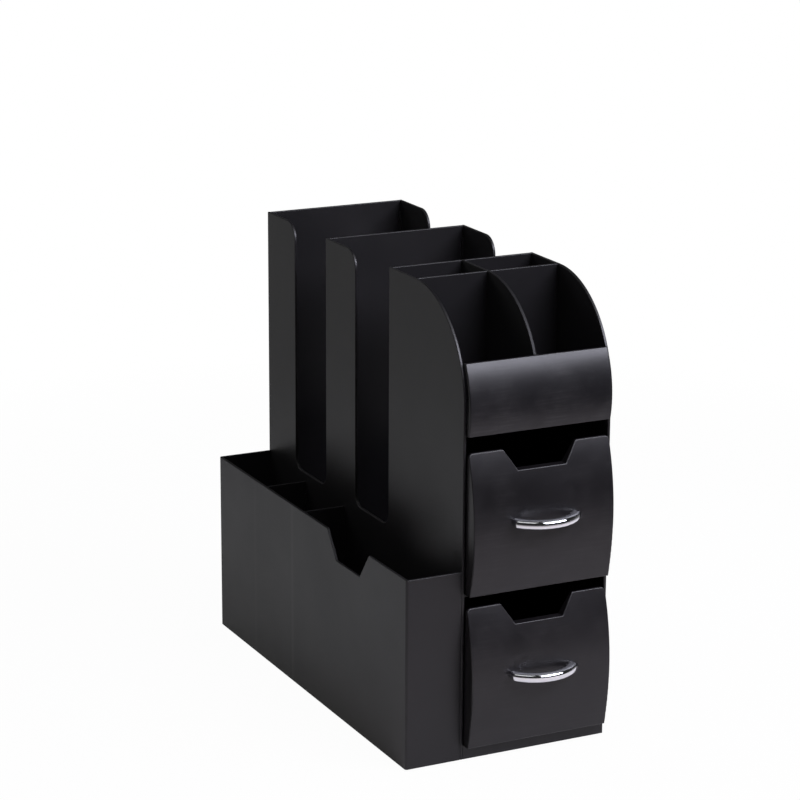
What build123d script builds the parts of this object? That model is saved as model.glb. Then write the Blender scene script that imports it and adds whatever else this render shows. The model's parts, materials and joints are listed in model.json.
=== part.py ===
"""Countertop condiment caddy: a two-drawer tower with a condiment tray, two cup channels and a side bin.

Millimetres. +Z up, the front faces -Y, +X to the right as seen from the front.
The origin is at the bottom centre of the whole caddy, on the surface that it stands on.
"""

import os
from math import sqrt

from build123d import *

os.makedirs("parts", exist_ok=True)

# Case
wall = 1.8
tower_width = 100.0
tower_depth = 100.3
channel_pitch = 92.4
channel_count = 2
base_height = 9.4
bay_pitch = 96.7
tray_lift = 3.3
tray_depth = 80.0
arc_radius = 65.0
wing_length = 44.0
wing_corner = 12.0
slot_floor_height = 120.0
slot_corner = 8.0
edge_round = 0.4

# Utensil bin
bin_width = 37.0
bin_height = 120.2
bin_floor_lift = 3.0
bin_corner = 1.5
notch_middle = 81.5
notch_top_width = 59.8
notch_bottom_width = 33.5
notch_depth = 17.5
napkin_cell_end = 166.0
utensil_cell_end = 226.0
bin_divider_drop = 6.0

# Locating ribs, ledges and base stiffening
rib_height = 1.0
rib_width = 1.2
ledge_width = 1.5
ledge_height = 2.0
ledge_setback = 8.0
rail_thickness = 2.5
base_rib_lift = 2.0

# Joint between the bin and the base
tongue_width = 24.0
tongue_reach = 14.0
tongue_inset = 40.0
tongue_clearance = 0.2
bin_screw_inset = 7.0
bin_screw_radius = 1.4
bin_screw_head_radius = 2.9
bin_screw_head_height = 1.6
bin_screw_hole_clearance = 0.2
bin_screw_tip_cover = 0.8
screw_boss_radius = 4.5
recess_length = 3.2
recess_width = 0.7
recess_depth = 0.7

# Feet
foot_lift = 1.0
foot_radius = 6.0
foot_thickness = 1.5
foot_boss_radius = 7.5
foot_inset = 14.0
foot_round = 0.3

# Condiment fascia
fascia_height = 41.5
fascia_lap = 3.2
fascia_bulge = 4.3
fascia_crest_height = 20.0
fascia_wall = 2.0
fascia_flange = 8.0
fascia_round = 0.7

# Drawer fronts
front_side_gap = 0.4
front_gap = 0.3
front_drop = 0.6
front_spacing = 8.3
crest_height = 40.0
bulge_bottom = 6.0
bulge_crest = 10.5
bulge_top = 2.0
front_shell = 2.0
front_corner = 3.0
front_round = 0.7
pull_top_width = 49.0
pull_bottom_width = 32.3
pull_depth = 12.8
pull_corner = 2.0

# Drawer boxes
box_side_gap = 0.7
box_rear_gap = 3.9
box_headroom = 24.7
box_wall = 1.5
box_corner = 4.0
running_gap = 0.3
skid_height = 1.2
skid_width = 3.0
skid_side_inset = 9.5
skid_end_inset = 4.0
stop_lip_width = 30.0
stop_lip_thickness = 2.0
stop_nub_width = 24.0
stop_nub_thickness = 2.0
stop_nub_height = 1.0
stop_clearance = 0.3
box_hold = 17.7

# Drawer handles
handle_span = 44.8
handle_reach = 15.3
handle_leg = 4.9
handle_bar = 6.2
handle_leg_width = 5.0
handle_thickness = 5.3
handle_round = 2.0
handle_height = 45.0
post_inset = 2.6
post_radius = 2.2
post_clearance = 0.1
post_boss_radius = 4.0
post_gap = 0.3
handle_screw_radius = 1.25
handle_screw_length = 10.0
handle_screw_head_radius = 2.5
handle_screw_head_height = 1.5
handle_screw_hole_clearance = 0.2

# Places that follow from the sizes
case_depth = tower_depth + channel_count * channel_pitch
front_reach = bulge_crest + handle_reach
case_front = (front_reach - case_depth) / 2
case_rear = case_front + case_depth
bin_left = -(bin_width + tower_width) / 2
tower_left = bin_left + bin_width
tower_right = tower_left + tower_width
inner_left = tower_left + wall
inner_right = tower_right - wall
tower_middle = (tower_left + tower_right) / 2
case_bottom = foot_lift
base_top = case_bottom + base_height
shelf_top = base_top + bay_pitch
tray_top = shelf_top + bay_pitch + tray_lift
case_top = tray_top + tray_depth
arc_base = case_top - arc_radius
slot_floor = case_bottom + slot_floor_height

tower_back = case_front + tower_depth
channel_ends = [tower_back + (number + 1) * channel_pitch for number in range(channel_count)]
wing_fronts = [end - wing_length for end in channel_ends]
slot_fronts = [end - channel_pitch for end in channel_ends]
cross_front = case_front + arc_radius

bin_top = case_bottom + bin_height
bin_floor_bottom = case_bottom + bin_floor_lift
bin_floor_top = bin_floor_bottom + wall
bin_divider_top = bin_top - bin_divider_drop
bin_divider_places = [case_front + napkin_cell_end, case_front + utensil_cell_end]

tongue_places = [
    case_front + tongue_inset,
    (case_front + case_rear) / 2,
    case_rear - tongue_inset,
]
bin_screw_x = inner_left + bin_screw_inset
bin_screw_tip = base_top - bin_screw_tip_cover

foot_rows = [case_front + foot_inset, case_rear - foot_inset]
tower_foot_columns = [inner_left + foot_inset, inner_right - foot_inset]
bin_foot_column = (bin_left + tower_left) / 2

front_height = bay_pitch - front_spacing
front_back = case_front - front_gap
box_rear = tower_back - wall - box_rear_gap
box_height = bay_pitch - wall - box_headroom - skid_height - running_gap
stop_lip_front = box_rear - stop_lip_thickness
drawer_travel = box_rear - case_front - box_hold
stop_nub_rear = stop_lip_front - drawer_travel - stop_clearance


def block(corner, opposite, mode=Mode.ADD):
    """Add or cut a box between two opposite corners."""
    low = tuple(min(pair) for pair in zip(corner, opposite))
    size = [abs(a - b) for a, b in zip(corner, opposite)]
    with Locations(low):
        Box(*size, align=(Align.MIN, Align.MIN, Align.MIN), mode=mode)


def post(x, y, bottom, top, radius, mode=Mode.ADD):
    """Add or cut an upright round post."""
    with Locations((x, y, bottom)):
        Cylinder(radius, top - bottom, align=(Align.CENTER, Align.CENTER, Align.MIN), mode=mode)


def peg(x, front, back, z, radius, mode=Mode.ADD):
    """Add or cut a round peg that lies along Y."""
    with Locations((x, (front + back) / 2, z)):
        Cylinder(radius, back - front, rotation=(90, 0, 0), mode=mode)


def panel_edge(height):
    """Y of the side panels' front edge at a height."""
    if height <= arc_base:
        return case_front
    return cross_front - sqrt(arc_radius**2 - (height - arc_base) ** 2)


def arc_middle(start_height):
    """Point of the side panels' arc halfway between a height and its top, as (y, z)."""
    height = (start_height + case_top) / 2
    return (panel_edge(height), height)


# Base plate, with the lower drawer's deck and the floor of the cup channels
with BuildPart() as base_plate:
    block((inner_left, case_front, case_bottom), (inner_right, case_rear, base_top))
    block(
        (inner_left + wall, case_front + rail_thickness, case_bottom),
        (inner_right - wall, case_rear - wall, base_top - wall),
        mode=Mode.SUBTRACT,
    )
    for rib_end in [tower_back] + channel_ends[:-1]:
        block(
            (inner_left, rib_end - wall, case_bottom + base_rib_lift),
            (inner_right, rib_end, base_top - wall),
        )
    block(
        (tower_middle - wall / 2, case_front, case_bottom + base_rib_lift),
        (tower_middle + wall / 2, case_rear, base_top - wall),
    )
    for foot_x in tower_foot_columns:
        for foot_y in foot_rows:
            post(foot_x, foot_y, foot_thickness, base_top - wall, foot_boss_radius)
    for tongue_y in tongue_places:
        post(bin_screw_x, tongue_y, bin_floor_top, base_top - wall, screw_boss_radius)
        block(
            (inner_left, tongue_y - tongue_width / 2 - tongue_clearance, case_bottom),
            (inner_left + wall, tongue_y + tongue_width / 2 + tongue_clearance, bin_floor_top),
            mode=Mode.SUBTRACT,
        )
        post(
            bin_screw_x,
            tongue_y,
            bin_floor_top,
            bin_screw_tip,
            bin_screw_radius,
            mode=Mode.SUBTRACT,
        )
    block(
        (tower_middle - stop_nub_width / 2, stop_nub_rear - stop_nub_thickness, base_top),
        (tower_middle + stop_nub_width / 2, stop_nub_rear, base_top + stop_nub_height),
    )
base_plate.part.label = "base_plate"
export_step(base_plate.part, "parts/base_plate.step")

# Side panels, each one flat comb that carries the tower and the wings of the cup channels
for side in ("left", "right"):
    panel_left = tower_left if side == "left" else inner_right
    inner_face = inner_left if side == "left" else inner_right
    inward = 1 if side == "left" else -1
    with BuildPart() as side_panel:
        with BuildSketch(Plane.YZ.offset(panel_left)) as comb:
            with BuildLine():
                Polyline(
                    (cross_front, case_top),
                    (case_rear, case_top),
                    (case_rear, case_bottom),
                    (case_front, case_bottom),
                    (case_front, arc_base),
                )
                ThreePointArc(
                    (case_front, arc_base),
                    arc_middle(arc_base),
                    (cross_front, case_top),
                )
            make_face()
            for slot_front, wing_front in zip(slot_fronts, wing_fronts):
                with Locations(((slot_front + wing_front) / 2, (slot_floor + case_top) / 2)):
                    Rectangle(wing_front - slot_front, case_top - slot_floor, mode=Mode.SUBTRACT)
            floor_corners = comb.vertices().filter_by(lambda v: abs(v.Y - slot_floor) < edge_round)
            fillet(floor_corners, slot_corner)
            wing_corners = comb.vertices().filter_by(
                lambda v: abs(v.Y - case_top) < edge_round
                and min(abs(v.X - front) for front in wing_fronts) < edge_round
            )
            fillet(wing_corners, wing_corner)
        extrude(amount=wall)
        fillet(side_panel.faces().filter_by(Axis.X).edges(), edge_round)
        for deck in (shelf_top, tray_top):
            block(
                (inner_face, case_front + ledge_setback, deck - wall - ledge_height),
                (inner_face + inward * ledge_width, tower_back - wall, deck - wall),
            )
        for wall_rear in [tower_back] + channel_ends[:-1]:
            block(
                (inner_face, wall_rear, base_top),
                (inner_face + inward * rib_height, wall_rear + rib_width, slot_floor),
            )
        for wall_rear in channel_ends:
            block(
                (inner_face, wall_rear - wall - rib_width, base_top),
                (inner_face + inward * rib_height, wall_rear - wall, case_top - slot_corner),
            )
        if side == "left":
            for tongue_y in tongue_places:
                block(
                    (tower_left, tongue_y - tongue_width / 2 - tongue_clearance, case_bottom),
                    (inner_left, tongue_y + tongue_width / 2 + tongue_clearance, bin_floor_top),
                    mode=Mode.SUBTRACT,
                )
            for divider_y in bin_divider_places:
                for rib_low in (divider_y - wall / 2 - rib_width, divider_y + wall / 2):
                    block(
                        (tower_left - rib_height, rib_low, bin_floor_top),
                        (tower_left, rib_low + rib_width, bin_divider_top - slot_corner),
                    )
    side_panel.part.label = f"{side}_side_panel"
    export_step(side_panel.part, f"parts/{side}_side_panel.step")

# Cross walls between the side panels, all standing on the base plate
for name, wall_rears in (
    ("tower_back_wall", [tower_back]),
    ("channel_divider", channel_ends[:-1]),
    ("rear_wall", [case_rear]),
):
    with BuildPart() as cross_wall:
        for wall_rear in wall_rears:
            block((inner_left, wall_rear - wall, base_top), (inner_right, wall_rear, case_top))
        fillet(cross_wall.edges().filter_by(Axis.X).group_by(Axis.Z)[-1], edge_round)
    cross_wall.part.label = name
    export_step(cross_wall.part, f"parts/{name}.step")

# Shelf under the upper drawer
with BuildPart() as drawer_shelf:
    block((inner_left, case_front, shelf_top - wall), (inner_right, tower_back - wall, shelf_top))
    block(
        (tower_middle - stop_nub_width / 2, stop_nub_rear - stop_nub_thickness, shelf_top),
        (tower_middle + stop_nub_width / 2, stop_nub_rear, shelf_top + stop_nub_height),
    )
drawer_shelf.part.label = "drawer_shelf"
export_step(drawer_shelf.part, "parts/drawer_shelf.step")

# Floor of the condiment tray
with BuildPart() as tray_floor:
    block((inner_left, case_front, tray_top - wall), (inner_right, tower_back - wall, tray_top))
tray_floor.part.label = "tray_floor"
export_step(tray_floor.part, "parts/tray_floor.step")

# Bowed fascia of the condiment tray, with a flange that laps the tray floor
fascia_top = tray_top + fascia_height
fascia_bottom_point = (case_front - fascia_lap, tray_top - wall)
fascia_crest_point = (case_front - fascia_bulge, tray_top + fascia_crest_height)
fascia_top_point = (panel_edge(fascia_top) - fascia_lap, fascia_top)
fascia_inner_top = (fascia_top_point[0] + fascia_wall, fascia_top)
fascia_inner_middle = (fascia_crest_point[0] + fascia_wall, fascia_crest_point[1])
fascia_inner_foot = (case_front, tray_top + wall)
with BuildPart() as condiment_fascia:
    with BuildSketch(Plane.YZ.offset(inner_left)):
        with BuildLine():
            ThreePointArc(fascia_bottom_point, fascia_crest_point, fascia_top_point)
            Line(fascia_top_point, fascia_inner_top)
            ThreePointArc(fascia_inner_top, fascia_inner_middle, fascia_inner_foot)
            Polyline(
                fascia_inner_foot,
                (case_front + fascia_flange, tray_top + wall),
                (case_front + fascia_flange, tray_top),
                (case_front, tray_top),
                (case_front, tray_top - wall),
                fascia_bottom_point,
            )
        make_face()
    extrude(amount=inner_right - inner_left)
    bowed_face = condiment_fascia.faces().sort_by(Axis.Y)[0]
    fillet(bowed_face.edges().filter_by(GeomType.CIRCLE), fascia_round)
condiment_fascia.part.label = "condiment_fascia"
export_step(condiment_fascia.part, "parts/condiment_fascia.step")

# Crossed dividers of the condiment tray, halved into each other
half_lap_height = (tray_top + case_top) / 2
with BuildPart() as cross_divider:
    block((inner_left, cross_front, tray_top), (inner_right, cross_front + wall, case_top))
    fillet(cross_divider.edges().filter_by(Axis.X).group_by(Axis.Z)[-1], edge_round)
    block(
        (tower_middle - wall / 2, cross_front, tray_top),
        (tower_middle + wall / 2, cross_front + wall, half_lap_height),
        mode=Mode.SUBTRACT,
    )
cross_divider.part.label = "cross_divider"
export_step(cross_divider.part, "parts/cross_divider.step")

with BuildPart() as centre_divider:
    with BuildSketch(Plane.YZ.offset(tower_middle - wall / 2)):
        with BuildLine():
            ThreePointArc(fascia_inner_top, fascia_inner_middle, fascia_inner_foot)
            Polyline(
                fascia_inner_foot,
                (case_front + fascia_flange, tray_top + wall),
                (case_front + fascia_flange, tray_top),
                (tower_back - wall, tray_top),
                (tower_back - wall, case_top),
                (cross_front, case_top),
            )
            ThreePointArc(
                (cross_front, case_top),
                arc_middle(fascia_top),
                (panel_edge(fascia_top), fascia_top),
            )
            Line((panel_edge(fascia_top), fascia_top), fascia_inner_top)
        make_face()
    extrude(amount=wall)
    block(
        (tower_middle - wall / 2, cross_front, half_lap_height),
        (tower_middle + wall / 2, cross_front + wall, case_top),
        mode=Mode.SUBTRACT,
    )
centre_divider.part.label = "centre_divider"
export_step(centre_divider.part, "parts/centre_divider.step")

# Utensil bin, open on the side that the left panel closes
with BuildPart() as utensil_bin:
    block((bin_left, case_front, case_bottom), (tower_left, case_rear, bin_top))
    corner_edges = utensil_bin.edges().filter_by(Axis.Z).group_by(Axis.X)[0]
    fillet(corner_edges, bin_corner)
    fillet(utensil_bin.edges().filter_by(Axis.Z).group_by(Axis.X)[-1], edge_round)
    block(
        (bin_left + wall, case_front + wall, bin_floor_top),
        (tower_left, case_rear - wall, bin_top),
        mode=Mode.SUBTRACT,
    )
    block(
        (bin_left + wall, case_front + wall, case_bottom),
        (tower_left, case_rear - wall, bin_floor_bottom),
        mode=Mode.SUBTRACT,
    )
    with BuildSketch(Plane.YZ.offset(bin_left)):
        with BuildLine():
            Polyline(
                (case_front + notch_middle - notch_top_width / 2, bin_top),
                (case_front + notch_middle - notch_bottom_width / 2, bin_top - notch_depth),
                (case_front + notch_middle + notch_bottom_width / 2, bin_top - notch_depth),
                (case_front + notch_middle + notch_top_width / 2, bin_top),
                close=True,
            )
        make_face()
    extrude(amount=wall, mode=Mode.SUBTRACT)
    rim_faces = utensil_bin.faces().filter_by(lambda f: f.center().Z > bin_top - notch_depth - wall)
    rim_faces = rim_faces.filter_by(lambda f: f.normal_at().Z > edge_round)
    fillet(rim_faces.edges().filter_by(lambda e: e.length > 2 * wall), edge_round)
    for foot_y in foot_rows:
        post(bin_foot_column, foot_y, foot_thickness, bin_floor_bottom, foot_boss_radius)
    for tongue_y in tongue_places:
        block(
            (tower_left, tongue_y - tongue_width / 2, bin_floor_bottom),
            (inner_left + tongue_reach, tongue_y + tongue_width / 2, bin_floor_top),
        )
        post(
            bin_screw_x,
            tongue_y,
            bin_floor_bottom,
            bin_floor_top,
            bin_screw_radius + bin_screw_hole_clearance,
            mode=Mode.SUBTRACT,
        )
    for divider_y in bin_divider_places:
        for rib_low in (divider_y - wall / 2 - rib_width, divider_y + wall / 2):
            block(
                (bin_left + wall, rib_low, bin_floor_top),
                (bin_left + wall + rib_height, rib_low + rib_width, bin_divider_top - slot_corner),
            )
utensil_bin.part.label = "utensil_bin"
export_step(utensil_bin.part, "parts/utensil_bin.step")

# Loose dividers that drop between the rib pairs of the bin
for name, divider_y in zip(("napkin_divider", "utensil_divider"), bin_divider_places):
    with BuildPart() as bin_divider:
        block(
            (bin_left + wall, divider_y - wall / 2, bin_floor_top),
            (tower_left, divider_y + wall / 2, bin_divider_top),
        )
        fillet(bin_divider.edges().filter_by(Axis.X).group_by(Axis.Z)[-1], edge_round)
    bin_divider.part.label = name
    export_step(bin_divider.part, f"parts/{name}.step")

# Screws that hold the bin's tongues up against the base plate
with BuildPart() as bin_screws:
    for tongue_y in tongue_places:
        head_bottom = bin_floor_bottom - bin_screw_head_height
        post(bin_screw_x, tongue_y, head_bottom, bin_floor_bottom, bin_screw_head_radius)
        post(bin_screw_x, tongue_y, bin_floor_bottom, bin_screw_tip, bin_screw_radius)
        for across, along in ((recess_length, recess_width), (recess_width, recess_length)):
            block(
                (bin_screw_x - across / 2, tongue_y - along / 2, head_bottom),
                (bin_screw_x + across / 2, tongue_y + along / 2, head_bottom + recess_depth),
                mode=Mode.SUBTRACT,
            )
bin_screws.part.label = "bin_screws"
export_step(bin_screws.part, "parts/bin_screws.step")

# Rubber feet
with BuildPart() as rubber_feet:
    for foot_x in [bin_foot_column] + tower_foot_columns:
        for foot_y in foot_rows:
            post(foot_x, foot_y, 0, foot_thickness, foot_radius)
    fillet(rubber_feet.edges().group_by(Axis.Z)[0], foot_round)
rubber_feet.part.label = "rubber_feet"
export_step(rubber_feet.part, "parts/rubber_feet.step")

# Drawers
front_left = inner_left + front_side_gap
front_right = inner_right - front_side_gap
box_left = inner_left + box_side_gap
box_right = inner_right - box_side_gap
box_front = front_back
skid_columns = [box_left + skid_side_inset, box_right - skid_side_inset]
handle_left = tower_middle - handle_span / 2
handle_right = tower_middle + handle_span / 2
post_columns = [handle_left + post_inset, handle_right - post_inset]
handle_root = case_front - bulge_crest + front_shell / 2
handle_surface = case_front - bulge_crest
handle_shoulder = handle_surface - handle_leg
handle_inner_left = handle_left + handle_leg_width
handle_inner_right = handle_right - handle_leg_width
handle_crest = case_front - front_reach

for drawer, deck in (("lower", base_top), ("upper", shelf_top)):
    front_bottom = deck - front_drop
    front_top = front_bottom + front_height
    crest_z = front_bottom + crest_height
    handle_z = front_bottom + handle_height
    box_bottom = deck + running_gap + skid_height
    box_top = box_bottom + box_height

    # Outer body of the front: two arcs that meet upright at the crest
    bottom_point = (case_front - bulge_bottom, front_bottom)
    crest_point = (case_front - bulge_crest, crest_z)
    top_point = (case_front - bulge_top, front_top)
    with BuildPart() as front_body:
        with BuildSketch(Plane.YZ.offset(front_left)):
            with BuildLine():
                TangentArc(crest_point, bottom_point, tangent=(0, -1))
                TangentArc(crest_point, top_point, tangent=(0, 1))
                Polyline(
                    top_point,
                    (front_back, front_top),
                    (front_back, front_bottom),
                    bottom_point,
                )
            make_face()
        extrude(amount=front_right - front_left)

    # Silhouette of the front as seen from ahead, with the finger pull cut into its top edge
    with BuildSketch(Plane.XZ.offset(-front_back)) as silhouette:
        with BuildLine():
            Polyline(
                (front_left, front_bottom),
                (front_right, front_bottom),
                (front_right, front_top),
                (tower_middle + pull_top_width / 2, front_top),
                (tower_middle + pull_bottom_width / 2, front_top - pull_depth),
                (tower_middle - pull_bottom_width / 2, front_top - pull_depth),
                (tower_middle - pull_top_width / 2, front_top),
                (front_left, front_top),
                close=True,
            )
        make_face()
        top_corners = silhouette.vertices().filter_by(lambda v: abs(v.Y - front_top) < edge_round)
        fillet(top_corners.sort_by(Axis.X)[1:-1], pull_corner)
        top_corners = silhouette.vertices().filter_by(lambda v: abs(v.Y - front_top) < edge_round)
        side_corners = top_corners.sort_by(Axis.X)
        fillet([side_corners[0], side_corners[-1]], front_corner)

    # Hollow behind the skin of the front, open at the back
    with BuildPart() as front_hollow:
        with BuildSketch(Plane.XZ.offset(-front_back)):
            add(silhouette.sketch_local)
            offset(amount=-front_shell)
        extrude(amount=bulge_crest)
        with BuildSketch(Plane.YZ.offset(front_left)):
            with BuildLine():
                TangentArc(
                    (crest_point[0] + front_shell, crest_z),
                    (bottom_point[0] + front_shell, front_bottom),
                    tangent=(0, -1),
                )
                TangentArc(
                    (crest_point[0] + front_shell, crest_z),
                    (top_point[0] + front_shell, front_top),
                    tangent=(0, 1),
                )
                Polyline(
                    (top_point[0] + front_shell, front_top),
                    (case_front + front_shell, front_top),
                    (case_front + front_shell, front_bottom),
                    (bottom_point[0] + front_shell, front_bottom),
                )
            make_face()
        extrude(amount=front_right - front_left, mode=Mode.INTERSECT)

    with BuildPart() as drawer_front:
        add(front_body.part)
        extrude(silhouette.sketch, amount=2 * bulge_crest, mode=Mode.INTERSECT)
        skin = drawer_front.faces().filter_by(GeomType.CYLINDER).sort_by(SortBy.AREA)[-2:]
        crest_line = drawer_front.edges().filter_by(Axis.X).sort_by(Axis.Y)[0]
        rim = [edge for edge in skin.edges() if edge.center().Y > crest_line.center().Y + edge_round]
        fillet(rim, front_round)
        add(front_hollow.part, mode=Mode.SUBTRACT)
        for post_x in post_columns:
            peg(
                post_x,
                handle_root,
                front_back,
                handle_z,
                post_boss_radius,
            )
            peg(
                post_x,
                case_front - 2 * bulge_crest,
                front_back,
                handle_z,
                post_radius + post_clearance,
                mode=Mode.SUBTRACT,
            )
    drawer_front.part.label = f"{drawer}_drawer_front"
    export_step(drawer_front.part, f"parts/{drawer}_drawer_front.step")

    # Box behind the front, on two skids, with a stop lip under its rear edge
    with BuildPart() as drawer_box:
        block((box_left, box_front, box_bottom), (box_right, box_rear, box_top))
        fillet(drawer_box.edges().filter_by(Axis.Z).group_by(Axis.Y)[-1], box_corner)
        hollow_faces = drawer_box.faces().sort_by(Axis.Z)[-1]
        offset(amount=-box_wall, openings=hollow_faces)
        for skid_x in skid_columns:
            block(
                (skid_x - skid_width / 2, box_front + skid_end_inset, deck + running_gap),
                (skid_x + skid_width / 2, box_rear - skid_end_inset - box_corner, box_bottom),
            )
        block(
            (tower_middle - stop_lip_width / 2, stop_lip_front, deck + running_gap),
            (tower_middle + stop_lip_width / 2, box_rear, box_bottom),
        )
        for post_x in post_columns:
            peg(
                post_x,
                box_front,
                box_front + box_wall,
                handle_z,
                handle_screw_radius + handle_screw_hole_clearance,
                mode=Mode.SUBTRACT,
            )
    drawer_box.part.label = f"{drawer}_drawer_box"
    export_step(drawer_box.part, f"parts/{drawer}_drawer_box.step")

    # Bow handle, trimmed to the front's curve, with two posts that pass through the front
    with BuildPart() as drawer_handle:
        with BuildSketch(Plane.XY.offset(handle_z - handle_thickness / 2)):
            with BuildLine():
                Polyline(
                    (handle_right, handle_shoulder),
                    (handle_right, handle_root),
                    (handle_left, handle_root),
                    (handle_left, handle_shoulder),
                )
                ThreePointArc(
                    (handle_left, handle_shoulder),
                    (tower_middle, handle_crest),
                    (handle_right, handle_shoulder),
                )
            make_face()
            with BuildLine():
                Polyline(
                    (handle_inner_right, handle_surface),
                    (handle_inner_right, handle_root),
                    (handle_inner_left, handle_root),
                    (handle_inner_left, handle_surface),
                )
                ThreePointArc(
                    (handle_inner_left, handle_surface),
                    (tower_middle, handle_crest + handle_bar),
                    (handle_inner_right, handle_surface),
                )
            make_face(mode=Mode.SUBTRACT)
        extrude(amount=handle_thickness)
        bow_edges = drawer_handle.faces().filter_by(Axis.Z).edges()
        fillet(bow_edges.filter_by(lambda e: e.center().Y < handle_root - edge_round), handle_round)
        add(front_body.part, mode=Mode.SUBTRACT)
        for post_x in post_columns:
            peg(post_x, handle_shoulder, front_back - post_gap, handle_z, post_radius)
            peg(
                post_x,
                box_front + box_wall - handle_screw_length,
                front_back,
                handle_z,
                handle_screw_radius,
                mode=Mode.SUBTRACT,
            )
    drawer_handle.part.label = f"{drawer}_drawer_handle"
    export_step(drawer_handle.part, f"parts/{drawer}_drawer_handle.step")

    # Screws from inside the box into the handle's posts
    with BuildPart() as handle_screws:
        head_front = box_front + box_wall
        for post_x in post_columns:
            peg(
                post_x,
                head_front - handle_screw_length,
                head_front,
                handle_z,
                handle_screw_radius,
            )
            peg(
                post_x,
                head_front,
                head_front + handle_screw_head_height,
                handle_z,
                handle_screw_head_radius,
            )
            for across, up in ((recess_length, recess_width), (recess_width, recess_length)):
                block(
                    (
                        post_x - across / 2,
                        head_front + handle_screw_head_height - recess_depth,
                        handle_z - up / 2,
                    ),
                    (
                        post_x + across / 2,
                        head_front + handle_screw_head_height,
                        handle_z + up / 2,
                    ),
                    mode=Mode.SUBTRACT,
                )
    handle_screws.part.label = f"{drawer}_handle_screws"
    export_step(handle_screws.part, f"parts/{drawer}_handle_screws.step")
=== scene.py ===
"""Looks of a countertop condiment caddy: satin black plastic, chrome bows, a pale studio and a camera.

Metres, +Z up, the drawers face -Y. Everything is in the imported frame, so no part is moved.
"""

import json
import math

import bpy
from mathutils import Matrix, Vector


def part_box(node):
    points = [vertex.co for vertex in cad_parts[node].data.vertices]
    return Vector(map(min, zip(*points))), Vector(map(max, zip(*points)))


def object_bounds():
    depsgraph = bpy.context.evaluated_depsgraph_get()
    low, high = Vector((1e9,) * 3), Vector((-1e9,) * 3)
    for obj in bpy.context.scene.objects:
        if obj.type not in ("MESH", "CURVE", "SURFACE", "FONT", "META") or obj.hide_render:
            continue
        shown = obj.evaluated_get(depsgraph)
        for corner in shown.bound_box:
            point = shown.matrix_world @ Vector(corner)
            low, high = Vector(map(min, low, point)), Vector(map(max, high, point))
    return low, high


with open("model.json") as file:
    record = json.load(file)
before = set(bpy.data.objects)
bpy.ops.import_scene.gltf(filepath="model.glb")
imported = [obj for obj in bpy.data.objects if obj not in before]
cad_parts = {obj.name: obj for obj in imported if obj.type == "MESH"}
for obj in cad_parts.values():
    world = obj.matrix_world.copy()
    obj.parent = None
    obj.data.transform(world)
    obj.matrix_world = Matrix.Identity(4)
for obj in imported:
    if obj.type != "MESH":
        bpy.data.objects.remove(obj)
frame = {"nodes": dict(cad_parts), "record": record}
cad_low, cad_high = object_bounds()
nodes = frame["nodes"]

# Camera, solved from the photograph's edges
CAMERA_PLACE = Vector((-0.76188, -1.51608, 0.66003))
CAMERA_AZIMUTH = math.radians(26.406)
CAMERA_PITCH = math.radians(15.432)
CAMERA_ROLL = math.radians(0.306)
CAMERA_LENS = 124.87
CAMERA_SENSOR = 36.0
CAMERA_CLIP = 0.05

# The room as gloss sees it: its level, and how much lighter it is low down at the back.
# The spans are parts of a direction's length, from the front to the back and from the horizon up.
ROOM_LEVEL = 0.024
ROOM_BACK_GAIN = 0.26
ROOM_BACK_SPAN = (-0.5, 0.5)
ROOM_UP_SPAN = (0.0, 0.25)

# The even fill for the plain colours, and the white that the camera sees behind the object
FILL_LEVEL = 0.27
SEEN_WHITE = 1.0

# Table top: its colour behind and in front of the object, darker and pinker in front as painted shade, the
# strip where they mix, its round edge, softened into a painted fall-off of light, the ground beyond it, and
# how strongly the camera sees the object's shadow on it
TABLE_REAR = (0.82, 0.82, 0.82)
TABLE_FRONT_PAINTED_SHADE = (0.70, 0.645, 0.62)
TABLE_MIX_SPAN = (-0.4, 0.1)
TABLE_EDGE = 0.66
TABLE_PAINTED_FALLOFF = 0.2
GROUND = (0.1, 0.1, 0.1)
FLOOR_HALF = 6.0
SHADOW_SHARE = 0.03

# Lamps: name, place, what it is aimed at (None is the object's middle), size, watts, tint
WHITE = (1.0, 1.0, 1.0)
LAMPS = [
    ("key_box", (0.55, -0.95, 1.0), None, (1.2, 0.45), 20.0, (0.94, 0.94, 1.08)),
    ("rear_box", (-0.8, 0.9, 0.9), (-0.5, 0.55, 0.0), (0.6, 0.6), 2.6, WHITE),
    ("left_high_box", (-0.56, -0.5, 1.44), None, (1.0, 0.6), 2.0, WHITE),
    ("right_high_box", (0.57, -0.48, 1.44), None, (1.0, 0.6), 2.0, WHITE),
]

# Noises: scale, detail and roughness. Nearly all of a noise's values lie in its span.
CLOUDS = (14.0, 3.0, 0.55)
MOULD_GRAIN = (2600.0, 2.0, 0.6)
WAVES = (20.0, 1.0, 0.4)
DUST_STREAKS = (1.0, 3.0, 0.6)
DUST_PATCHES = (45.0, 4.0, 0.65)
PLATING_RIPPLE = (160.0, 1.0, 0.4)
PLATING_HAZE = (900.0, 3.0, 0.6)
TURNED_GRAIN = (3000.0, 3.0, 0.7)
RUBBER_GRAIN = (1800.0, 3.0, 0.6)
NOISE_SPAN = (0.3, 0.7)

# Plastic: radius of the moulded edges, heights of the bumps, how uneven the gloss is
EDGE_RADIUS = 0.0005
EDGE_SAMPLES = 6
WAVE_HEIGHT = 0.0004
GRAIN_HEIGHT = 0.000012
CLOUD_GLOSS = 0.03
GRAIN_GLOSS = 0.02
STYRENE_IOR = 1.46
STYRENE_SPECULAR = 0.5

# Dust: its level streaks are a stretched noise, kept where the patches let it lie
DUST_STRETCH = (40.0, 40.0, 900.0)
DUST_STREAK_SPAN = (0.45, 0.7)
DUST_LEAST = 0.3
DUST_PATCH_SPAN = (0.4, 0.7)
DUST_GLOSS = 0.02
DUST_GLOSS_SPAN = (0.35, 0.65)
DUST_COLOUR = (0.05, 0.047, 0.049)
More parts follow.
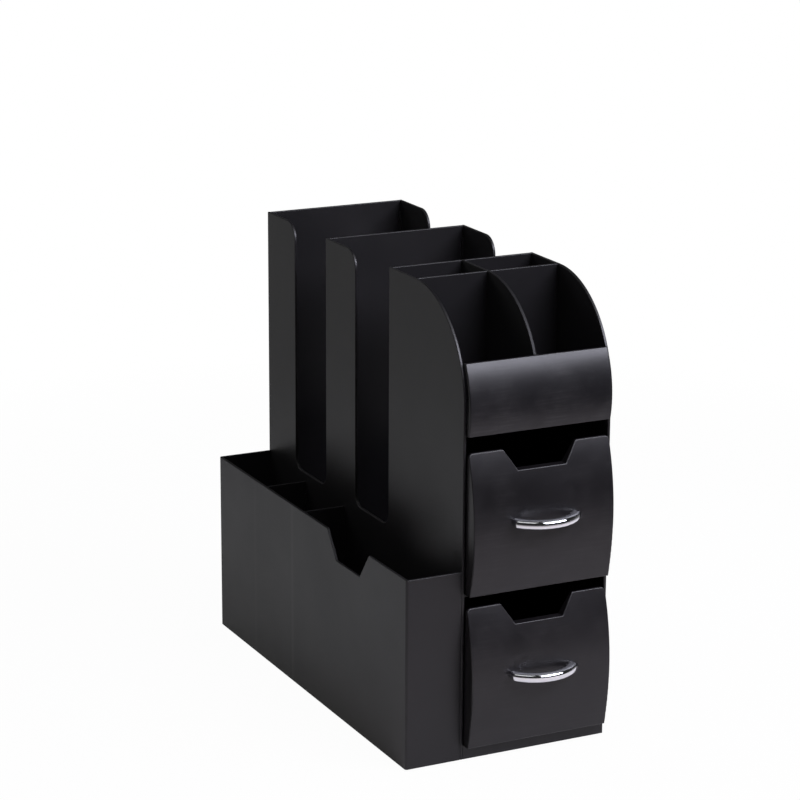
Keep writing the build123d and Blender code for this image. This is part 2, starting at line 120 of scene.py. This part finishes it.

# Sink lines: width, depth, how far each end fades, how near the wall's face they stay,
# the lighter colour of the painted sheen along each line, and how much of it shows in the middle of a line
SINK_WIDTH = 0.0022
SINK_DEPTH = 0.00004
SINK_FADE = 0.002
SINK_REACH = 0.0002
SINK_PAINTED_SHEEN_COLOUR = (0.03, 0.03, 0.03)
SINK_PAINTED_SHEEN_SHARE = 0.5

# Chrome: how far the plating softens the casting's edges, and its ripple
PLATED_RADIUS = 0.0018
PLATED_SAMPLES = 12
RIPPLE_HEIGHT = 0.00001
CHROME_COLOUR = (0.82, 0.83, 0.86)
CHROME_GLOSS = (0.02, 0.05)

# Zinc of the screws and rubber of the feet: two colours, roughness span, height of the grain
ZINC_COLOURS = ((0.42, 0.43, 0.45), (0.62, 0.62, 0.6))
ZINC_GLOSS = (0.28, 0.42)
ZINC_HEIGHT = 0.00002
RUBBER_COLOURS = ((0.012, 0.012, 0.012), (0.03, 0.03, 0.03))
RUBBER_GLOSS = (0.75, 0.9)
RUBBER_HEIGHT = 0.00004

# Black of the case's panels: darkest and lightest colour, roughness
CASE_BLACK = ((0.0065, 0.006, 0.007), (0.009, 0.0083, 0.0095), 0.40)

# Places on the object that the materials need
bin_low, bin_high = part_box("utensil_bin")
panel_low, panel_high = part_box("left_side_panel")
tray_low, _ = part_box("tray_floor")


def middle_y(name):
    """How far back a divider's middle is."""
    low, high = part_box(name)
    return (low.y + high.y) / 2


# Sink lines of the dividers in the walls' outer faces, dented by a bump and painted with a lighter sheen:
# x, y, lowest and highest z, strength
BIN_SINKS = [
    (bin_low.x, middle_y("napkin_divider"), bin_low.z, bin_high.z, 1.0),
    (bin_low.x, middle_y("utensil_divider"), bin_low.z, bin_high.z, 0.5),
]
PANEL_SINKS = [(panel_low.x, middle_y("cross_divider"), tray_low.z, panel_high.z, 0.5)]


def colour(red, green, blue):
    return (red, green, blue, 1.0)


class Graph:
    """A short way to build a shader's node tree."""

    def __init__(self, owner):
        owner.use_nodes = True
        self.tree = owner.node_tree
        self.tree.nodes.clear()

    def feed(self, socket, value):
        """Link another node's output to a socket, or set the socket's value."""
        if isinstance(value, bpy.types.NodeSocket):
            self.tree.links.new(value, socket)
        else:
            socket.default_value = value

    def node(self, kind, inputs=None, **settings):
        made = self.tree.nodes.new(kind)
        for name, value in settings.items():
            setattr(made, name, value)
        for name, value in (inputs or {}).items():
            self.feed(made.inputs[name], value)
        return made

    def math(self, operation, a, b):
        return self.node("ShaderNodeMath", {0: a, 1: b}, operation=operation).outputs[0]

    def object_place(self):
        return self.node("ShaderNodeTexCoord").outputs["Object"]

    def parts(self, vector):
        return self.node("ShaderNodeSeparateXYZ", {"Vector": vector}).outputs

    def noise(self, place, scale, detail, roughness):
        inputs = {"Vector": place, "Scale": scale, "Detail": detail, "Roughness": roughness}
        return self.node("ShaderNodeTexNoise", inputs).outputs["Fac"]

    def remap(self, value, low, high, to_low, to_high):
        inputs = {"Value": value, "From Min": low, "From Max": high, "To Min": to_low, "To Max": to_high}
        return self.node("ShaderNodeMapRange", inputs).outputs["Result"]

    def mix_colour(self, factor, a, b):
        # The mix node has a set of inputs for each kind of data: 0, 6, 7 and output 2 are for colours
        inputs = {0: factor, 6: a, 7: b}
        made = self.node("ShaderNodeMix", data_type="RGBA")
        for place, value in inputs.items():
            self.feed(made.inputs[place], value)
        return made.outputs[2]

    def bump(self, height, distance, normal=None):
        inputs = {"Height": height, "Distance": distance}
        if normal is not None:
            inputs["Normal"] = normal
        return self.node("ShaderNodeBump", inputs).outputs["Normal"]

    def rounded(self, radius, samples):
        """The normal of edges that are rounded in the light only."""
        return self.node("ShaderNodeBevel", {"Radius": radius}, samples=samples).outputs["Normal"]

    def sink(self, place, line):
        """Where a sink line shows in a wall's outer face: its strength in its middle, 0 beside it."""
        x, y, low, high, strength = line
        along = self.parts(place)
        offset = self.math("DIVIDE", self.math("SUBTRACT", along["Y"], y), SINK_WIDTH)
        squared = self.math("MULTIPLY", offset, offset)
        bell = self.math("POWER", math.e, self.math("MULTIPLY", squared, -1.0))
        compare = {0: along["X"], 1: x, 2: SINK_REACH}
        on_face = self.node("ShaderNodeMath", compare, operation="COMPARE").outputs[0]
        above_foot = self.remap(along["Z"], low, low + SINK_FADE, 0.0, 1.0)
        under_top = self.remap(along["Z"], high - SINK_FADE, high, 1.0, 0.0)
        inside = self.math("MULTIPLY", self.math("MULTIPLY", on_face, above_foot), under_top)
        return self.math("MULTIPLY", self.math("MULTIPLY", bell, inside), strength)

    def finish(self, shader):
        self.node("ShaderNodeOutputMaterial", {"Surface": shader.outputs[0]})


def new_material(name):
    """A material with an empty graph, and the place on the object that its textures use."""
    material = bpy.data.materials.new(name)
    graph = Graph(material)
    return material, graph, graph.object_place()


def satin_plastic(name, dark, light, rough, sink_lines=(), dust=0.0):
    """Moulded black styrene: mould grain, slow waves, uneven gloss, dust wiped off in level streaks, and
    sink lines dented with a painted sheen.
    """
    material, graph, place = new_material(name)
    clouds = graph.noise(place, *CLOUDS)
    grain = graph.noise(place, *MOULD_GRAIN)
    waves = graph.noise(place, *WAVES)
    tone = graph.remap(clouds, *NOISE_SPAN, 0.0, 1.0)
    base = graph.mix_colour(tone, colour(*dark), colour(*light))
    gloss = graph.remap(clouds, *NOISE_SPAN, rough - CLOUD_GLOSS, rough + CLOUD_GLOSS)
    gloss = graph.math("ADD", gloss, graph.remap(grain, *NOISE_SPAN, -GRAIN_GLOSS, GRAIN_GLOSS))
    if dust:
        stretched = graph.node("ShaderNodeMapping", {"Vector": place, "Scale": DUST_STRETCH})
        streaks = graph.noise(stretched.outputs["Vector"], *DUST_STREAKS)
        patches = graph.noise(place, *DUST_PATCHES)
        dusty = graph.remap(streaks, *DUST_STREAK_SPAN, DUST_LEAST, 1.0)
        dusty = graph.math("MULTIPLY", dusty, graph.remap(patches, *DUST_PATCH_SPAN, 0.0, 1.0))
        dull = graph.remap(patches, *DUST_GLOSS_SPAN, -DUST_GLOSS, DUST_GLOSS)
        gloss = graph.math("ADD", gloss, dull)
        base = graph.mix_colour(graph.math("MULTIPLY", dusty, dust), base, colour(*DUST_COLOUR))
    normal = graph.bump(waves, WAVE_HEIGHT, graph.rounded(EDGE_RADIUS, EDGE_SAMPLES))
    normal = graph.bump(grain, GRAIN_HEIGHT, normal)
    for line in sink_lines:
        sunk_and_painted_sheen = graph.sink(place, line)
        normal = graph.bump(sunk_and_painted_sheen, -SINK_DEPTH, normal)
        # painted sheen: a lighter colour mixed into the base along each sink line
        base = graph.mix_colour(graph.math("MULTIPLY", sunk_and_painted_sheen, SINK_PAINTED_SHEEN_SHARE), base, colour(*SINK_PAINTED_SHEEN_COLOUR))
    shader = graph.node(
        "ShaderNodeBsdfPrincipled",
        {
            "Base Color": base,
            "Roughness": gloss,
            "Normal": normal,
            "IOR": STYRENE_IOR,
            "Specular IOR Level": STYRENE_SPECULAR,
        },
    )
    graph.finish(shader)
    return material


def chrome(name):
    """Bright plating on a die-cast bow, with the faint ripple of a polished casting."""
    material, graph, place = new_material(name)
    ripple = graph.noise(place, *PLATING_RIPPLE)
    haze = graph.noise(place, *PLATING_HAZE)
    shader = graph.node(
        "ShaderNodeBsdfPrincipled",
        {
            "Base Color": colour(*CHROME_COLOUR),
            "Metallic": 1.0,
            "Roughness": graph.remap(haze, *NOISE_SPAN, *CHROME_GLOSS),
            "Normal": graph.bump(ripple, RIPPLE_HEIGHT, graph.rounded(PLATED_RADIUS, PLATED_SAMPLES)),
        },
    )
    graph.finish(shader)
    return material


def grained(name, noise, colours, gloss, height, metallic):
    """A material whose colour, roughness and relief all follow one fine grain."""
    material, graph, place = new_material(name)
    grain = graph.noise(place, *noise)
    dark, light = colours
    shader = graph.node(
        "ShaderNodeBsdfPrincipled",
        {
            "Base Color": graph.mix_colour(grain, colour(*dark), colour(*light)),
            "Metallic": metallic,
            "Roughness": graph.remap(grain, *NOISE_SPAN, *gloss),
            "Normal": graph.bump(grain, height),
        },
    )
    graph.finish(shader)
    return material


# One finish for each slot of the record, and those of the nodes that have their own
finishes = {
    "case_plastic": satin_plastic("case_plastic", *CASE_BLACK),
    "front_plastic": satin_plastic(
        "front_plastic", (0.006, 0.0053, 0.0062), (0.0082, 0.0073, 0.0088), 0.36, dust=0.2
    ),
    "box_plastic": satin_plastic("box_plastic", (0.006, 0.0055, 0.0065), (0.008, 0.0075, 0.0085), 0.45),
    "handle_chrome": chrome("handle_chrome"),
    "screw_steel": grained("screw_steel", TURNED_GRAIN, ZINC_COLOURS, ZINC_GLOSS, ZINC_HEIGHT, 1.0),
    "foot_rubber": grained("foot_rubber", RUBBER_GRAIN, RUBBER_COLOURS, RUBBER_GLOSS, RUBBER_HEIGHT, 0.0),
}
own_finishes = {
    "utensil_bin": satin_plastic("bin_plastic", *CASE_BLACK, BIN_SINKS),
    "left_side_panel": satin_plastic("panel_plastic", *CASE_BLACK, PANEL_SINKS),
    "condiment_fascia": satin_plastic(
        "fascia_plastic", (0.006, 0.0056, 0.0068), (0.0088, 0.0081, 0.0096), 0.365, dust=0.4
    ),
    # painted shade: the centre divider uses a darker copy of the case's black so its rims and faces look
    # shaded; it is also rougher
    "centre_divider": satin_plastic(
        "divider_plastic_painted_shade", (0.0045, 0.0042, 0.0049), (0.0065, 0.006, 0.007), 0.6
    ),
}
for subpart in frame["record"]["subparts"]:
    piece = nodes[subpart["node"]]
    for material_slot in piece.material_slots:
        material_slot.material = own_finishes.get(subpart["node"], finishes[subpart["material_slot"]])


def make_camera():
    """The photograph's camera: a long lens, a little above the object and to its left."""
    forward = Vector(
        (
            math.sin(CAMERA_AZIMUTH) * math.cos(CAMERA_PITCH),
            math.cos(CAMERA_AZIMUTH) * math.cos(CAMERA_PITCH),
            -math.sin(CAMERA_PITCH),
        )
    )
    level = Vector((math.cos(CAMERA_AZIMUTH), -math.sin(CAMERA_AZIMUTH), 0.0))
    upright = level.cross(forward)
    right = level * math.cos(CAMERA_ROLL) + upright * math.sin(CAMERA_ROLL)
    up = upright * math.cos(CAMERA_ROLL) - level * math.sin(CAMERA_ROLL)
    data = bpy.data.cameras.new("photo_camera")
    data.lens = CAMERA_LENS
    data.sensor_width = CAMERA_SENSOR
    data.sensor_height = CAMERA_SENSOR
    data.clip_start = CAMERA_CLIP
    camera = bpy.data.objects.new("photo_camera", data)
    bpy.context.scene.collection.objects.link(camera)
    columns = Matrix((right, up, -forward)).transposed()
    camera.matrix_world = Matrix.Translation(CAMERA_PLACE) @ columns.to_4x4()
    bpy.context.scene.camera = camera


def room_level(graph, direction):
    """Brightness of the room in a direction: dark in front and overhead, lighter low down at the back."""
    along = graph.parts(direction)
    gain = graph.remap(along["Y"], *ROOM_BACK_SPAN, 0.0, ROOM_BACK_GAIN)
    gain = graph.math("MULTIPLY", gain, graph.remap(along["Z"], *ROOM_UP_SPAN, 1.0, 0.0))
    return graph.math("ADD", gain, ROOM_LEVEL)


def make_world():
    """White to the camera, the room to gloss and glass, and an even grey fill for the rest."""
    world = bpy.data.worlds.new("studio")
    bpy.context.scene.world = world
    graph = Graph(world)
    rays = graph.node("ShaderNodeLightPath").outputs
    seen = rays["Is Camera Ray"]
    mirrored = graph.math("MAXIMUM", rays["Is Glossy Ray"], rays["Is Transmission Ray"])
    room = room_level(graph, graph.node("ShaderNodeTexCoord").outputs["Generated"])
    level = graph.math("MULTIPLY", mirrored, graph.math("SUBTRACT", room, FILL_LEVEL))
    level = graph.math("ADD", level, FILL_LEVEL)
    level = graph.math("MULTIPLY", level, graph.math("SUBTRACT", 1.0, seen))
    level = graph.math("ADD", level, graph.math("MULTIPLY", seen, SEEN_WHITE))
    shader = graph.node("ShaderNodeBackground", {"Color": colour(*WHITE), "Strength": level})
    graph.node("ShaderNodeOutputWorld", {"Surface": shader.outputs[0]})


def make_floor():
    """A table top whose colour fades into the room as a painted fall-off of light. What the camera sees of
    it is white, with a soft shadow.
    """
    mesh = bpy.data.meshes.new("floor")
    signs = [(-1, -1), (1, -1), (1, 1), (-1, 1)]
    corners = [(x * FLOOR_HALF, y * FLOOR_HALF, 0.0) for x, y in signs]
    mesh.from_pydata(corners, [], [(0, 1, 2, 3)])
    floor = bpy.data.objects.new("floor", mesh)
    bpy.context.scene.collection.objects.link(floor)
    material, graph, place = new_material("floor_white")
    rays = graph.node("ShaderNodeLightPath").outputs
    seen = rays["Is Camera Ray"]
    mirrored = graph.math("MAXIMUM", rays["Is Glossy Ray"], rays["Is Transmission Ray"])

    # The table's round top and its colour, with painted shade in front and a painted fall-off of light at
    # its edge, and the ground beyond it
    away = graph.node("ShaderNodeVectorMath", {0: place}, operation="LENGTH").outputs["Value"]
    # painted fall-off of light: the table's colour fades to the ground over a soft ring
    table = graph.remap(away, TABLE_EDGE - TABLE_PAINTED_FALLOFF, TABLE_EDGE + TABLE_PAINTED_FALLOFF, 1.0, 0.0)
    toward_rear = graph.remap(graph.parts(place)["Y"], *TABLE_MIX_SPAN, 0.0, 1.0)
    # painted shade: the table's colour is darker and pinker in front of the object
    top = graph.mix_colour(toward_rear, colour(*TABLE_FRONT_PAINTED_SHADE), colour(*TABLE_REAR))
    lit = graph.node("ShaderNodeBsdfDiffuse", {"Color": graph.mix_colour(table, colour(*GROUND), top)})

    # What glows instead: white for the camera, and the room for gloss that looks past the table
    outward = graph.node("ShaderNodeVectorMath", {0: place}, operation="NORMALIZE").outputs["Vector"]
    level = graph.math("MULTIPLY", mirrored, room_level(graph, outward))
    level = graph.math("ADD", level, graph.math("MULTIPLY", seen, SEEN_WHITE))
    glow = graph.node("ShaderNodeEmission", {"Color": colour(*WHITE), "Strength": level})
    shadow = graph.math("MULTIPLY", table, SHADOW_SHARE)
    seen_share = graph.math("MULTIPLY", seen, graph.math("SUBTRACT", 1.0, shadow))
    past_table = graph.math("MULTIPLY", mirrored, graph.math("SUBTRACT", 1.0, table))
    share = graph.math("MAXIMUM", seen_share, past_table)
    graph.finish(graph.node("ShaderNodeMixShader", {0: share, 1: lit.outputs[0], 2: glow.outputs[0]}))
    mesh.materials.append(material)


def area_lamp(name, place, target, size, power, tint):
    """A soft box of a size, aimed at a point."""
    data = bpy.data.lights.new(name, "AREA")
    data.shape = "RECTANGLE"
    data.size, data.size_y = size
    data.energy = power
    data.color = tint
    lamp = bpy.data.objects.new(name, data)
    bpy.context.scene.collection.objects.link(lamp)
    lamp.location = place
    lamp.rotation_euler = (Vector(target) - Vector(place)).to_track_quat("-Z", "Y").to_euler()


make_camera()
make_world()
make_floor()
middle = (cad_low + cad_high) / 2
for name, place, target, size, power, tint in LAMPS:
    area_lamp(name, place, target or middle, size, power, tint)

bpy.context.scene.view_settings.view_transform = "Standard"

bpy.context.view_layer.update()
